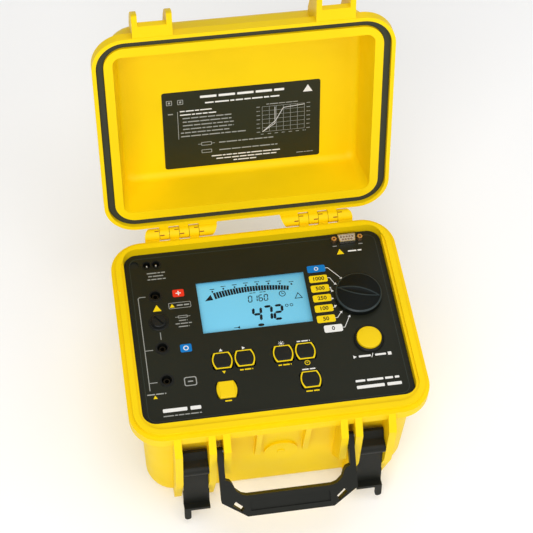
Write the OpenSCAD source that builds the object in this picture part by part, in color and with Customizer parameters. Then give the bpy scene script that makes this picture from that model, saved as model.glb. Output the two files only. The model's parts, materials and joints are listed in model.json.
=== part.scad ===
// Insulation resistance tester in a hinged carrying case, with its lid open.
// X runs to the right, Y to the back, Z up. The origin is the centre of the flat bottom face.

/* [Case] */
// Width of the case across its flange
case_w = 270; // [264:1:290]
// Depth of the case across its flange, front to back
case_d = 212; // [210:1:222]
// Height of the parting plane between base and lid
part_z = 128; // [127:1:140]
// Height of the closed lid above the parting plane
lid_h = 52; // [50:1:64]
// Corner radius of the flange, seen from above
corner_r = 30; // [26:1:32]
// Thickness of the lid top and the base floor
floor_t = 4.5; // [3.5:0.5:6]
// How far the lid leans back from closed, in degrees
lid_open = 104.5; // [95:0.5:105]

/* [Hinge] */
// Distance of the hinge axis behind the flange
hinge_gap = 8; // [8:0.5:10]
// Radius of a hinge knuckle
knuckle_r = 6; // [5:0.5:6.5]
// Radius of the hinge, latch and handle pins
pin_r = 1.6; // [1.2:0.1:2]
// Clearance between knuckles, and beside the latch and handle
side_gap = 0.4; // [0.3:0.1:0.6]

/* [Latches] */
// Distance of each latch from the middle of the case
latch_x = 80.25; // [79:0.25:82]
// Width of the latch between its ribs
latch_w = 22.7; // [20:0.1:22.7]
// Length of a latch from its pivot to the hook
hook_len = 59; // [59:0.5:62]
// How far an open latch has swung down from closed, in degrees
latch_open = 170; // [150:1:172]

/* [Handle] */
// Distance of the handle arms' outer faces from the middle
handle_half = 61.3; // [58:0.1:61.4]
// Length of the handle from its pivot to the end of the grip
handle_len = 61.5; // [56:0.5:64]
// Thickness of the handle
handle_t = 8; // [6:0.5:9]
// How far the handle leans out from hanging straight down, in degrees
handle_lean = 45; // [0:1:60]

/* [Panel] */
// Width of the instrument panel
panel_w = 244.6; // [240:0.1:246]
// Depth of the instrument panel
panel_d = 184.6; // [180:0.1:186]
// How far the panel lies below the parting plane
panel_drop = 5; // [4:0.5:6]
// Width of the display window
window_w = 106; // [90:1:107]
// Depth of the display window
window_d = 60; // [50:1:61]
// Diameter of the range knob
knob_d = 44; // [36:1:44]
// Width of a rubber key
key_w = 18.4; // [16:0.2:19]
// Diameter of the start button
start_d = 22.8; // [18:0.2:23]
// Bore of a test socket
socket_bore = 4.04; // [4:0.01:4.1]

/* [Hidden] */
$fn = 64;
yellow = "gold";
black = [0.13, 0.14, 0.13];
hull_fn = 32;
eps = 0.01;

// Case
flange_t = 10;
flange_over = 11;
skirt_w = 3.6;
tongue_gap = 0.6;
tongue_h = 4;
tongue_w = 5.4;
step_h = 1.5;
gasket_t = 3;
gasket_w = 6.4;
seal_gap = 0.3;
edge_r = 11;
body_w = case_w - 2 * flange_over;
body_d = case_d - 2 * flange_over;
draft = 5;
wall = 4;
front_y = -case_d / 2;
hinge_y = case_d / 2 + hinge_gap;
lid_z = part_z + seal_gap;
channel_z = part_z + tongue_h + seal_gap + gasket_t;
land_w = 7.6;
tongue_in = skirt_w + tongue_gap + tongue_w;
land_in = tongue_in + 0.8;

// Hinge knuckles, as distances from the middle: base, lid, base, lid, base, lid
knuckles = [[85.6, 100], [76.2, 85.6], [66.8, 76.2], [57.4, 66.8], [48, 57.4], [30, 48]];
wing_r = 18;
taper = 7;
pin_from = knuckles[5][0] + 5.5;
pin_to = knuckles[0][1] - 5;
notch = [4.2, 2, 1.2];

// Ribs on the front: near face, far face, and how far down the front face runs
rib_out = 11;
latch_ribs = [[62, 68.5], [92, 98.8]];
handle_rib = [49, 55.5];
short_rib = [19.4, 24.4];
disc_z = 64;
disc_r = 15.5;
disc_out = 1.2;

// Latch
latch_y = front_y - 7;
latch_z = part_z - 47;
latch_t = 3;
latch_off = 5.5;
hub_r = 5;
tab_len = 14;
prong_len = 13;
prong_w = 6.2;
lip_t = 3;
ear_w = 5;
ear_half = 12.5;
ear_out = 22;
bar_out = 11.5;
bar_top = 8;

// Handle
handle_y = front_y - 4;
handle_z = part_z - 24;
arm_w = 5.2;
grip_w = 19.5;
handle_bore = pin_r + 0.06;

// Panel
panel_y = 3.65;
panel_z = part_z - panel_drop;
panel_t = 3;
panel_r = 12;
panel_fit = 0.6;
ledge = 4.4;
opening_r = 15;
film_t = 0.25;
window_x = -7.5;
window_y = 29.5;
knob_at = [89.8, 23.8];
knob_h = 8.5;
ridge_w = 4.3;
shaft_top = 6.5;
knob_turn = -20;
shaft_r = 3;
start_at = [90.5, -24.5];
start_travel = 3;
key_d = 17;
key_rise = 2;
key_fit = 0.4;
key_row_y = -29.6;
key_low_y = -59.5;
key_second_at = [-45.3, key_low_y];
key_display_at = [-45.3, key_row_y];
key_ratio_at = [-24.8, key_row_y];
key_timer_at = [10.3, key_row_y];
key_alarm_at = [30.7, key_row_y];
key_program_at = [30.7, key_low_y];
keys_at = [key_second_at, key_display_at, key_ratio_at, key_timer_at, key_alarm_at, key_program_at];
socket_x = -97.2;
positive_at = [socket_x, 48.2];
guard_at = [socket_x, -8.8];
negative_at = [socket_x, -42.8];
sockets_at = [positive_at, guard_at, negative_at];
socket_r = 6.2;
socket_depth = 26;
contact_r = 3;
fuse_at = [socket_x, 19.5];
fuse_r = 6.5;
fuse_cap_r = 8;
inlet_at = [-97, 83.3];
inlet_pitch = 8.6;
inlet_well_r = 4.2;
inlet_pin_r = 1.15;
serial_at = [90.6, 87.6];
serial_pitch = 25;
serial_w = 17;
serial_d = 8.4;
blank_at = [-113, 84.5];

// Boards and battery
board_z = panel_z - 22;
board_t = 1.6;
board_x = 10;
board_w = 188;
board_d = 170;
spacer_at = [[-76, -74], [96, -74], [-76, 78], [68, 82]];
post_at = [[-109, -72], [109, -72], [-109, 60], [109, 60]];
post_r = 3.5;
post_z = 8;
screw_head_r = 3.2;
power_at = [55, 10];
power_w = 100;
power_d = 130;
power_z = floor_t + 8;
boss_at = [[-42, -57], [42, -57], [-42, 57], [42, 57]];
cell_r = 12.6;
cell_len = 50;
cell_gap = 0.4;
battery_at = [-55, 0];
strap_z = floor_t + 0.05;

module rounded(w, d, r) {
    square([w - 2 * r, d], center = true);
    square([w, d - 2 * r], center = true);
    for (x = [-1, 1], y = [-1, 1])
        translate([x * (w / 2 - r), y * (d / 2 - r)]) circle(r);
}

module slab(w, d, r, z0, z1) {
    translate([0, 0, z0]) linear_extrude(z1 - z0) rounded(w, d, r);
}

module ring(inset, width, z0, z1) {
    difference() {
        slab(case_w - 2 * inset, case_d - 2 * inset, corner_r - inset, z0, z1);
        slab(case_w - 2 * (inset + width), case_d - 2 * (inset + width), corner_r - inset - width,
            z0 - 1, z1 + 1);
    }
}

// A tub that narrows by `less` from its mouth to its closed end, with a rounded edge there
module tub(w, d, r, less, mouth, end, edge) {
    way = sign(end - mouth);
    hull() {
        translate([0, 0, mouth]) linear_extrude(eps) rounded(w, d, r, $fn = hull_fn);
        for (a = [0 : 30 : 90])
            translate([0, 0, end - way * (edge * (1 - sin(90 - a)) + eps)]) linear_extrude(eps)
                rounded(w - less - 2 * edge * (1 - sin(a)), d - less - 2 * edge * (1 - sin(a)),
                    r - edge * (1 - sin(a)) * 0.6, $fn = hull_fn);
    }
}

// Extrudes a YZ outline along X
module across(x0, x1, outline) {
    translate([x0, 0, 0]) rotate([90, 0, 90]) linear_extrude(x1 - x0) polygon(outline);
}

module both_sides() {
    for (side = [0, 1]) mirror([side, 0, 0]) children();
}

module x_rod(r, x0, x1, y, z) {
    translate([x0, y, z]) rotate([0, 90, 0]) cylinder(r = r, h = x1 - x0);
}

module opened() {
    translate([0, hinge_y, part_z]) rotate([-lid_open, 0, 0]) translate([0, -hinge_y, -part_z]) children();
}

module case_rib(range, foot_y, foot_z, drop_z) {
    top = part_z - 1;
    across(range[0], range[1], [[front_y + 20, top - 4], [front_y + 2, top], [front_y, top],
        [front_y - rib_out, top - 14], [front_y - rib_out, drop_z], [foot_y, foot_z],
        [front_y + 22, foot_z]]);
}

module base_knuckle(range) {
    across(range[0] + side_gap / 2, range[1] - side_gap / 2, [[case_d / 2 - 4, part_z - flange_t],
        [hinge_y, part_z - knuckle_r], [hinge_y, part_z - 0.5], [case_d / 2 - 4, part_z - 0.5]]);
    x_rod(knuckle_r, range[0] + side_gap / 2, range[1] - side_gap / 2, hinge_y, part_z);
}

module lid_knuckle(range) {
    across(range[0] + side_gap / 2, range[1] - side_gap / 2, [[case_d / 2 - 4, lid_z + 0.5],
        [hinge_y, lid_z + 0.5], [hinge_y, part_z + knuckle_r], [case_d / 2 - 4, lid_z + flange_t - 0.5]]);
    x_rod(knuckle_r, range[0] + side_gap / 2, range[1] - side_gap / 2, hinge_y, part_z);
}

// The small slot at a knuckle's tip, at an angle about the hinge axis from the back
module knuckle_notch(x, angle) {
    translate([x, hinge_y, part_z]) rotate([angle, 0, 0])
        translate([0, knuckle_r - 0.9, -notch[2] / 2]) cube(notch);
}

// Rounds off the outer knuckle's free end, seen from above
module hinge_wing() {
    intersection() {
        base_knuckle(knuckles[0]);
        translate([knuckles[0][1] - wing_r, case_d / 2, part_z - 2 * knuckle_r]) {
            cylinder(r = wing_r, h = 4 * knuckle_r);
            translate([0, -wing_r, 0]) cube([wing_r, wing_r, 4 * knuckle_r]);
        }
    }
}

module base_outside() {
    tub(body_w, body_d, corner_r - 4, draft, part_z - flange_t, 0, edge_r);
    slab(case_w, case_d, corner_r, part_z - flange_t, part_z);
    ring(skirt_w + tongue_gap, tongue_w, part_z - 1, part_z + tongue_h);
    slab(case_w - 2 * tongue_in + 1, case_d - 2 * tongue_in + 1, corner_r - tongue_in,
        part_z - 1, part_z + step_h);
    both_sides() {
        case_rib(latch_ribs[0], front_y + 8, 2, 62);
        case_rib(latch_ribs[1], front_y + 8, 2, 62);
        case_rib(handle_rib, front_y + 10, 44, 74);
        across(short_rib[0], short_rib[1], [[front_y + 20, part_z - flange_t + 1],
            [front_y + 1, part_z - flange_t + 1], [front_y + 8, part_z - 62], [front_y + 20, part_z - 68]]);
        hinge_wing();
        for (k = [2, 4]) base_knuckle(knuckles[k]);
    }
    translate([0, front_y + 20, disc_z]) rotate([90, 0, 0]) {
        cylinder(r = disc_r, h = 20 - flange_over + disc_out);
        cylinder(r = 3.6, h = 20 - flange_over + disc_out + 0.8);
    }
}

module panel_area(grow, r, z0, z1) {
    translate([0, panel_y, 0]) slab(panel_w + grow, panel_d + grow, r, z0, z1);
}

module base_shell() {
    color(yellow) {
        difference() {
            base_outside();
            tub(body_w - 2 * wall, body_d - 2 * wall, corner_r - 8, draft,
                part_z - 16, floor_t, edge_r - wall);
            panel_area(-2 * ledge, opening_r, part_z - 17, part_z);
            panel_area(2 * panel_fit, panel_r + panel_fit, panel_z - panel_t - 1, part_z + tongue_h + 1);
            both_sides() {
                x_rod(pin_r, knuckles[5][0], pin_to, hinge_y, part_z);
                for (k = [0, 2, 4]) knuckle_notch(knuckles[k][0] + side_gap, 95);
                x_rod(pin_r, latch_ribs[0][0] + 2, latch_ribs[1][1] - 1.5, latch_y, latch_z);
                x_rod(pin_r, handle_rib[0] + 1.5, latch_ribs[0][1] - 1, handle_y, handle_z);
            }
            for (at = post_at) translate([at[0], at[1], -1]) {
                cylinder(r = pin_r, h = floor_t + 2);
                cylinder(r = screw_head_r + 0.3, h = 3.6);
            }
        }
        for (at = boss_at)
            translate([power_at[0] + at[0], power_at[1] + at[1], floor_t - 1]) difference() {
                cylinder(r = 4, h = power_z - floor_t + 1);
                translate([0, 0, 2]) cylinder(r = 1.25, h = power_z);
            }
        for (at = post_at) translate([at[0], at[1], floor_t - 1]) difference() {
            cylinder(r = post_r + 1, h = post_z - floor_t + 1);
            translate([0, 0, -1]) cylinder(r = pin_r, h = post_z);
        }
    }
}

module case_lid() {
    top = part_z + lid_h;
    color(yellow) opened() {
        difference() {
            union() {
                slab(case_w, case_d, corner_r, lid_z, lid_z + flange_t);
                tub(body_w + 3, body_d + 3, corner_r - 4, draft * 2, lid_z + flange_t - 1, top, edge_r);
                both_sides() {
                    for (side = [-1, 1])
                        translate([latch_x + side * (ear_half + ear_w / 2) - ear_w / 2, 0, 0])
                            across(0, ear_w, [[front_y + 12, lid_z + 0.5], [front_y - ear_out, lid_z + 0.5],
                                [front_y - ear_out - 0.5, lid_z + 4], [front_y - ear_out + 3, lid_z + 14],
                                [front_y - ear_out + 11, lid_z + 26], [front_y, lid_z + 36],
                                [front_y + 10, lid_z + 42], [front_y + 16, lid_z + 42]]);
                    translate([latch_x - ear_half - 1, front_y - bar_out, lid_z + 0.5])
                        cube([2 * ear_half + 2, bar_out + 6, bar_top - 0.8]);
                    for (k = [1, 3, 5]) lid_knuckle(knuckles[k]);
                }
            }
            tub(case_w - 2 * (land_in + land_w), case_d - 2 * (land_in + land_w + 1), 8, draft * 2,
                part_z - 1, top - floor_t, 7);
            ring(skirt_w, land_in - skirt_w, part_z - 1, channel_z);
            slab(case_w - 2 * land_in + 1, case_d - 2 * land_in + 1, corner_r - land_in, part_z - 1,
                part_z + step_h + 0.7);
            both_sides() {
                x_rod(pin_r + 0.05, knuckles[5][0] - 1, knuckles[0][1], hinge_y, part_z);
                for (k = [1, 3, 5])
                    knuckle_notch(knuckles[k][1] - side_gap - notch[0], lid_open + 140);
                translate([0, 0, part_z - 2 * knuckle_r]) linear_extrude(4 * knuckle_r)
                    polygon([[knuckles[5][0] - 1, case_d / 2 + 1], [knuckles[5][0], case_d / 2 + 1],
                        [knuckles[5][0] + taper, hinge_y + knuckle_r + 1],
                        [knuckles[5][0] - 1, hinge_y + knuckle_r + 1]]);
            }
            difference() {
                slab(body_w - 58, body_d - 58, 12, top - 0.8, top + 1);
                slab(body_w - 66, body_d - 66, 8, top - 2, top + 2);
            }
        }
    }
}

module lid_gasket() {
    color(black) opened() ring(skirt_w + 0.2, gasket_w, channel_z - gasket_t, channel_z);
}

module lid_label() {
    color(black) opened() translate([2, 30.5, 0])
        slab(149, 88, 2.5, part_z + lid_h - floor_t - film_t, part_z + lid_h - floor_t);
}

module hinge_pin() {
    color("silver") x_rod(pin_r, pin_from, pin_to, hinge_y, part_z);
}

module hinge_pin_left() {
    mirror([1, 0, 0]) hinge_pin();
}

module hinge_pin_right() {
    hinge_pin();
}

// The latch is drawn closed, with its pivot on the X axis at latch_x and its outer face towards -Y
module latch_lever() {
    outer = -latch_off - latch_t;
    hook_w = 2 * ear_half - 1;
    color(black) translate([latch_x, latch_y, latch_z]) rotate([latch_open, 0, 0]) {
        difference() {
            union() {
                x_rod(hub_r, -latch_w / 2, latch_w / 2, 0, 0);
                across(-latch_w / 2, latch_w / 2, [[outer, 16], [outer, 2], [outer - 3.2, -tab_len],
                    [outer, -tab_len], [-latch_off, -6], [0, -hub_r], [0, hub_r], [-latch_off, 9],
                    [-latch_off, 16]]);
            }
            x_rod(pin_r + 0.05, -latch_w, latch_w, 0, 0);
            for (k = [1 : 3])
                across(-latch_w, latch_w, [[outer - 4, -3.4 * k - 0.7], [outer - 0.2 * k + 0.3, -3.4 * k],
                    [outer - 4, -3.4 * k + 0.7]]);
        }
        translate([-latch_w / 2, outer, 15]) cube([latch_w, latch_t, 26]);
        translate([-hook_w / 2, outer, 40]) cube([hook_w, latch_t, hook_len - 40]);
        translate([-hook_w / 2, outer, hook_len - lip_t]) cube([hook_w, latch_t + latch_off + 1, lip_t]);
        translate([hook_w / 2 - prong_w, 1 - latch_t, hook_len - 1])
            cube([prong_w, latch_t, prong_len - prong_w / 2 + 1]);
        translate([(hook_w - prong_w) / 2, 1, hook_len + prong_len - prong_w / 2]) rotate([90, 0, 0])
            cylinder(r = prong_w / 2, h = latch_t);
    }
}

module latch_left() {
    mirror([1, 0, 0]) latch_lever();
}

module latch_right() {
    latch_lever();
}

module latch_pin() {
    color("silver") x_rod(pin_r, latch_ribs[0][0] + 2, latch_ribs[1][1] - 1.5, latch_y, latch_z);
}

module latch_pin_left() {
    mirror([1, 0, 0]) latch_pin();
}

module latch_pin_right() {
    latch_pin();
}

// The handle's half outline, hanging down: X across, Y along the arm
module handle_half_outline() {
    inner = handle_half - arm_w;
    grip = handle_len - grip_w;
    difference() {
        union() {
            translate([handle_half - arm_w, -handle_len + 15]) square([arm_w, handle_len - 15]);
            translate([handle_half - arm_w / 2, 0]) circle(arm_w / 2);
            polygon([[0, -handle_len], [39, -handle_len], [handle_half, -handle_len + 15],
                [inner, -26], [inner - 4, -27.5], [inner - 6, -30.5], [inner - 8, -36], [inner - 13, -40.5],
                [inner - 18, -grip], [0, -grip]]);
        }
        translate([46.5, -51.5]) rotate(40) square([10, 4.4], center = true);
    }
}

module carry_handle() {
    half_t = handle_t / 2;
    color(black) translate([0, handle_y, handle_z]) rotate([-handle_lean, 0, 0]) {
        difference() {
            union() {
                both_sides() rotate([90, 0, 0]) translate([0, 0, -half_t]) linear_extrude(handle_t)
                    handle_half_outline();
                both_sides() x_rod(half_t, handle_half - arm_w, handle_half, 0, 0);
            }
            both_sides() x_rod(handle_bore, handle_half - arm_w - 1, handle_half + 1, 0, 0);
            for (side = [-1, 1])
                translate([-36, side > 0 ? half_t - 1.5 : -half_t - 1, -handle_len + 5])
                    cube([72, 2.5, grip_w - 10]);
        }
    }
}

module handle_pins() {
    color("silver") both_sides() x_rod(pin_r, handle_rib[0] + 1.5, latch_ribs[0][1] - 1, handle_y, handle_z);
}

module at_panel(at, z = 0) {
    translate([at[0], at[1], panel_z + z]) children();
}

module key_outline(grow) {
    intersection() {
        square([key_w + 2 * grow, key_d + 2 * grow], center = true);
        circle(key_w * 0.61 + grow);
    }
}

module inlet_outline(grow) {
    for (side = [-1, 1]) translate([side * inlet_pitch / 2, 0]) circle(inlet_well_r + grow);
}

module serial_outline(grow) {
    top = serial_w / 2 + grow;
    low = serial_w / 2 - 1.2 + grow;
    half = serial_d / 2 + grow;
    polygon([[-top, half], [top, half], [low, -half], [-low, -half]]);
}

module panel_holes(grow) {
    translate([window_x, window_y]) square([window_w - 4 - grow, window_d - 4 - grow], center = true);
    for (at = keys_at) translate(at) key_outline(key_fit + grow);
    for (at = sockets_at) translate(at) circle(socket_r - 0.8 + grow);
    translate(fuse_at) circle(fuse_r + grow);
    translate(start_at) circle(start_d / 2 + 0.5 + grow);
    translate(knob_at) circle(4.8 + grow);
    translate(inlet_at) inlet_outline(0.6 + grow);
    translate(serial_at) {
        serial_outline(0.3 + grow);
        for (side = [-1, 1]) translate([side * serial_pitch / 2, 0]) circle(1.7 + grow);
    }
}

module front_panel() {
    color(black) difference() {
        panel_area(0, panel_r, panel_z - panel_t, panel_z - film_t);
        at_panel([0, 0], -panel_t - 1) linear_extrude(panel_t + 2) panel_holes(0);
        at_panel([window_x, window_y], -panel_t - 1) linear_extrude(panel_t - 0.2)
            rounded(window_w + 0.4, window_d + 0.4, 2);
        at_panel(blank_at, -1.6) cylinder(r = 4.3, h = 3);
    }
}

module panel_seal() {
    color("dimgray") difference() {
        panel_area(-1, panel_r - 0.5, panel_z - panel_t - 1, panel_z - panel_t);
        panel_area(-2 * ledge + 1, panel_r - 3, panel_z - panel_t - 2, panel_z);
        at_panel(serial_at, -panel_t - 2) linear_extrude(3) rounded(31.6, 13.3, 1.5);
    }
}

module panel_overlay() {
    color([0.2, 0.24, 0.22]) difference() {
        panel_area(-4, panel_r - 2, panel_z - film_t, panel_z);
        at_panel([0, 0], -1) linear_extrude(2) panel_holes(0.3);
        at_panel(blank_at, -1) cylinder(r = 4.3, h = 3);
    }
}

module display_window() {
    color("lightblue") at_panel([window_x, window_y], -panel_t) linear_extrude(1.8)
        rounded(window_w, window_d, 2);
}

module display_module() {
    color("silver") at_panel([window_x, window_y], -panel_t - 7) linear_extrude(6.4)
        rounded(window_w + 8, window_d + 6, 1.5);
}

module range_knob() {
    r = knob_d / 2;
    rim = knob_h - 2.6;
    tip = r - 1.9;
    lens_r = (tip * tip + ridge_w * ridge_w) / (2 * ridge_w);
    color(black) at_panel(knob_at, 0.5) rotate(knob_turn) {
        difference() {
            union() {
                rotate_extrude() polygon([[0, 0], [r, 0], [r, rim - 1.9], [r - 1.3, rim - 0.15],
                    [tip, rim], [0, rim]]);
                translate([0, 0, rim - 0.5]) linear_extrude(knob_h - rim + 0.5) intersection() {
                    translate([0, ridge_w - lens_r]) circle(lens_r);
                    translate([0, lens_r - ridge_w]) circle(lens_r);
                    circle(tip - 0.4);
                }
            }
            translate([0, 0, -1]) cylinder(r = shaft_r + 0.03, h = shaft_top + 0.55);
            translate([0, 0, -1]) cylinder(r = 7, h = 3.5);
        }
    }
}

module knob_shaft() {
    color("silver") at_panel(knob_at, -13) cylinder(r = shaft_r, h = shaft_top + 13);
}

module rotary_switch() {
    color("darkgreen") at_panel(knob_at, -panel_t - 17) difference() {
        union() {
            cylinder(r = 15, h = 14);
            translate([0, 0, 14]) cylinder(r = 4.6, h = 7.6);
        }
        translate([0, 0, 6.9]) cylinder(r = shaft_r + 0.05, h = 20);
    }
}

module switch_nut() {
    color("silver") at_panel(knob_at) difference() {
        cylinder(r = 6.4, h = 1.8, $fn = 6);
        translate([0, 0, -1]) cylinder(r = 4.65, h = 4);
    }
}

module start_button() {
    r = start_d / 2;
    color(yellow) at_panel(start_at, -9) union() {
        rotate_extrude() polygon([[0, 0], [r - 3, 0], [r - 3, 5], [r, 5], [r, 12.6], [r - 0.5, 13.5],
            [r - 1.6, 14], [0, 14.4]]);
    }
}

module start_collar() {
    r = start_d / 2;
    color(black) at_panel(start_at, -8.5) rotate_extrude()
        polygon([[r + 0.3, 0], [r + 1.8, 0], [r + 1.8, 5], [r + 0.45, 5], [r + 0.45, 8.5], [r + 2.6, 8.5],
            [r + 2.6, 9.6], [r + 1.4, 11.2], [r + 0.3, 11.2]]);
}

module start_switch() {
    color("dimgray") at_panel(start_at, -20.4) union() {
        linear_extrude(6) rounded(16, 16, 1);
        cylinder(r = 3, h = 8);
    }
}

module key_cap(at, tint) {
    color(tint) at_panel(at, -4.4) {
        linear_extrude(4.4 + key_rise - 0.6) key_outline(0);
        linear_extrude(4.4 + key_rise) key_outline(-0.7);
        linear_extrude(1) key_outline(0.8);
    }
}

module key_second() {
    key_cap(key_second_at, yellow);
}

module key_display() {
    key_cap(key_display_at, black);
}

module key_ratio() {
    key_cap(key_ratio_at, black);
}

module key_timer() {
    key_cap(key_timer_at, black);
}

module key_alarm() {
    key_cap(key_alarm_at, black);
}

module key_program() {
    key_cap(key_program_at, black);
}

module key_mat() {
    color("dimgray") {
        middle = [(key_second_at[0] + key_alarm_at[0]) / 2, (key_row_y + key_low_y) / 2];
        at_panel(middle, -9) linear_extrude(1.5)
            rounded(key_alarm_at[0] - key_second_at[0] + 26, key_row_y - key_low_y + 26, 3);
        for (at = keys_at) at_panel(at, -8) cylinder(r = 4, h = 2);
    }
}

module socket_body(at) {
    color([0.05, 0.05, 0.05]) at_panel(at, -socket_depth) rotate_extrude()
        polygon([[0, 0], [socket_r - 1, 0], [socket_r - 1, socket_depth], [socket_r, socket_depth],
            [socket_r, socket_depth + 0.8], [4.7, socket_depth + 0.8], [4.7, 5], [contact_r, 5],
            [contact_r, 2], [0, 2]]);
}

module socket_positive() {
    socket_body(positive_at);
}

module socket_guard() {
    socket_body(guard_at);
}

module socket_negative() {
    socket_body(negative_at);
}

module socket_contact(at) {
    color("goldenrod") at_panel(at, -socket_depth + 2) difference() {
        cylinder(r = contact_r, h = 22);
        translate([0, 0, 2]) cylinder(r = socket_bore / 2, h = 21);
    }
}

module contact_positive() {
    socket_contact(positive_at);
}

module contact_guard() {
    socket_contact(guard_at);
}

module contact_negative() {
    socket_contact(negative_at);
}

module fuse_cap() {
    color([0.05, 0.05, 0.05]) at_panel(fuse_at, 0) difference() {
        union() {
            rotate_extrude() polygon([[0, 0.9], [fuse_cap_r - 1, 0.9], [fuse_cap_r - 1, 2.2],
                [fuse_cap_r - 1.8, 3], [0, 3]]);
            translate([0, 0, -7]) cylinder(r = 4, h = 8);
        }
        rotate(-50) translate([-6, -0.9, 1.7]) cube([12, 1.8, 4]);
        translate([0, 0, -8]) cylinder(r = 2.7, h = 6);
    }
}

module fuse_holder() {
    color([0.05, 0.05, 0.05]) at_panel(fuse_at, -28) rotate_extrude()
        polygon([[0, 0], [5.5, 0], [5.5, 28], [fuse_cap_r, 28], [fuse_cap_r, 28.8], [4.2, 28.8],
            [4.2, 3], [0, 3]]);
}

module fuse_link() {
    color("silver") at_panel(fuse_at, -24.8) cylinder(r = 2.6, h = 20);
}

module mains_inlet() {
    color([0.05, 0.05, 0.05]) at_panel(inlet_at, -16) difference() {
        union() {
            translate([0, 0, 16 - panel_t - 2]) linear_extrude(2) rounded(22, 15, 1.5);
            linear_extrude(16.4) inlet_outline(0.5);
        }
        translate([0, 0, 3]) linear_extrude(20) inlet_outline(-0.6);
        for (side = [-1, 1]) translate([side * inlet_pitch / 2, 0, -1]) cylinder(r = inlet_pin_r, h = 5);
    }
}

module inlet_pins() {
    color("silver") for (side = [-1, 1])
        at_panel([inlet_at[0] + side * inlet_pitch / 2, inlet_at[1]], -19) cylinder(r = inlet_pin_r, h = 15);
}

module serial_shell() {
    color("silver") at_panel(serial_at, -panel_t - 1) {
        linear_extrude(1) difference() {
            rounded(30.8, 12.5, 1.5);
            serial_outline(-0.5);
            for (side = [-1, 1]) translate([side * serial_pitch / 2, 0]) circle(1.75);
        }
        linear_extrude(8.6) difference() {
            serial_outline(0);
            serial_outline(-0.5);
        }
    }
}

module serial_insert() {
    color("dimgray") at_panel(serial_at, -panel_t - 7) linear_extrude(9) serial_outline(-0.55);
}

module serial_pins() {
    pitch = 2.77;
    color("goldenrod") at_panel(serial_at, -1 + eps) {
        for (k = [-2 : 2]) translate([k * pitch, 1.42, 0]) cylinder(r = 0.5, h = 4.5);
        for (k = [-1.5 : 1.5]) translate([k * pitch, -1.42, 0]) cylinder(r = 0.5, h = 4.5);
    }
}

module serial_jack_screws() {
    color("silver") for (side = [-1, 1])
        at_panel([serial_at[0] + side * serial_pitch / 2, serial_at[1]], 0) difference() {
            union() {
                cylinder(r = 2.7, h = 4.6, $fn = 6);
                translate([0, 0, -8]) cylinder(r = 1.5, h = 9);
            }
            translate([0, 0, -1]) cylinder(r = 1.05, h = 7);
        }
}

module panel_posts() {
    color("silver") for (at = post_at) translate([at[0], at[1], post_z]) difference() {
        cylinder(r = post_r, h = panel_z - panel_t - post_z);
        translate([0, 0, -1]) cylinder(r = 1.5, h = 17);
    }
}

module case_screws() {
    color("silver") for (at = post_at) translate([at[0], at[1], 0.4]) {
        difference() {
            cylinder(r = screw_head_r, h = 2.2);
            for (turn = [0, 90]) rotate(turn) translate([-2, -0.4, -1]) cube([4, 0.8, 2]);
        }
        translate([0, 0, 1]) cylinder(r = 1.45, h = 20);
    }
}

module main_board() {
    color("darkgreen") translate([0, 0, board_z]) difference() {
        translate([board_x, 2, 0]) linear_extrude(board_t) square([board_w, board_d], center = true);
        for (at = spacer_at) translate([at[0], at[1], -1]) cylinder(r = 1.6, h = 4);
    }
}

module board_spacers() {
    color("silver") for (at = spacer_at)
        translate([at[0], at[1], board_z + board_t]) difference() {
            cylinder(r = 3.2, h = panel_z - panel_t - board_z - board_t);
            translate([0, 0, -1]) cylinder(r = 1.5, h = 10);
        }
}

module board_screws() {
    color("silver") for (at = spacer_at) translate([at[0], at[1], board_z]) {
        translate([0, 0, -2]) cylinder(r = 2.8, h = 2);
        translate([0, 0, -1]) cylinder(r = 1.45, h = 9);
    }
}

module power_board() {
    color("green") translate([power_at[0], power_at[1], power_z]) difference() {
        linear_extrude(board_t) square([power_w, power_d], center = true);
        for (at = boss_at) translate([at[0], at[1], -1]) cylinder(r = 1.6, h = 4);
    }
}

module power_board_screws() {
    color("silver") for (at = boss_at)
        translate([power_at[0] + at[0], power_at[1] + at[1], power_z + board_t]) {
            cylinder(r = 2.8, h = 2);
            translate([0, 0, -7]) cylinder(r = 1.2, h = 8);
        }
}

module transformer_core() {
    color("dimgray") translate([power_at[0], power_at[1] + 20, power_z + board_t]) difference() {
        translate([-20, -17, 0]) cube([40, 34, 33]);
        for (side = [-1, 1]) translate([side * 10 - 4.5, -20, 6]) cube([9, 40, 21]);
    }
}

module transformer_coil() {
    color("orange") translate([power_at[0], power_at[1] + 20, power_z + board_t]) difference() {
        translate([-14.2, -22, 6.3]) cube([28.4, 44, 20.4]);
        translate([-5.7, -17.2, 0]) cube([11.4, 34.4, 40]);
    }
}

module battery_pack() {
    color("royalblue") for (i = [0 : 3], j = [0, 1])
        translate([battery_at[0] - cell_len / 2 + j * (cell_len + cell_gap) - cell_len / 2,
            battery_at[1] + (i - 1.5) * (2 * cell_r + cell_gap), strap_z + cell_r + 1.6])
            rotate([0, 90, 0]) cylinder(r = cell_r, h = cell_len);
}

module battery_strap() {
    span = 4 * (2 * cell_r + cell_gap) + 4;
    color("silver") translate([battery_at[0] - 8, battery_at[1] - span / 2, strap_z]) difference() {
        cube([16, span, 2 * cell_r + 4.4]);
        translate([-1, 1.5, 1.5]) cube([18, span - 3, 2 * cell_r + 1.2]);
    }
}

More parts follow.
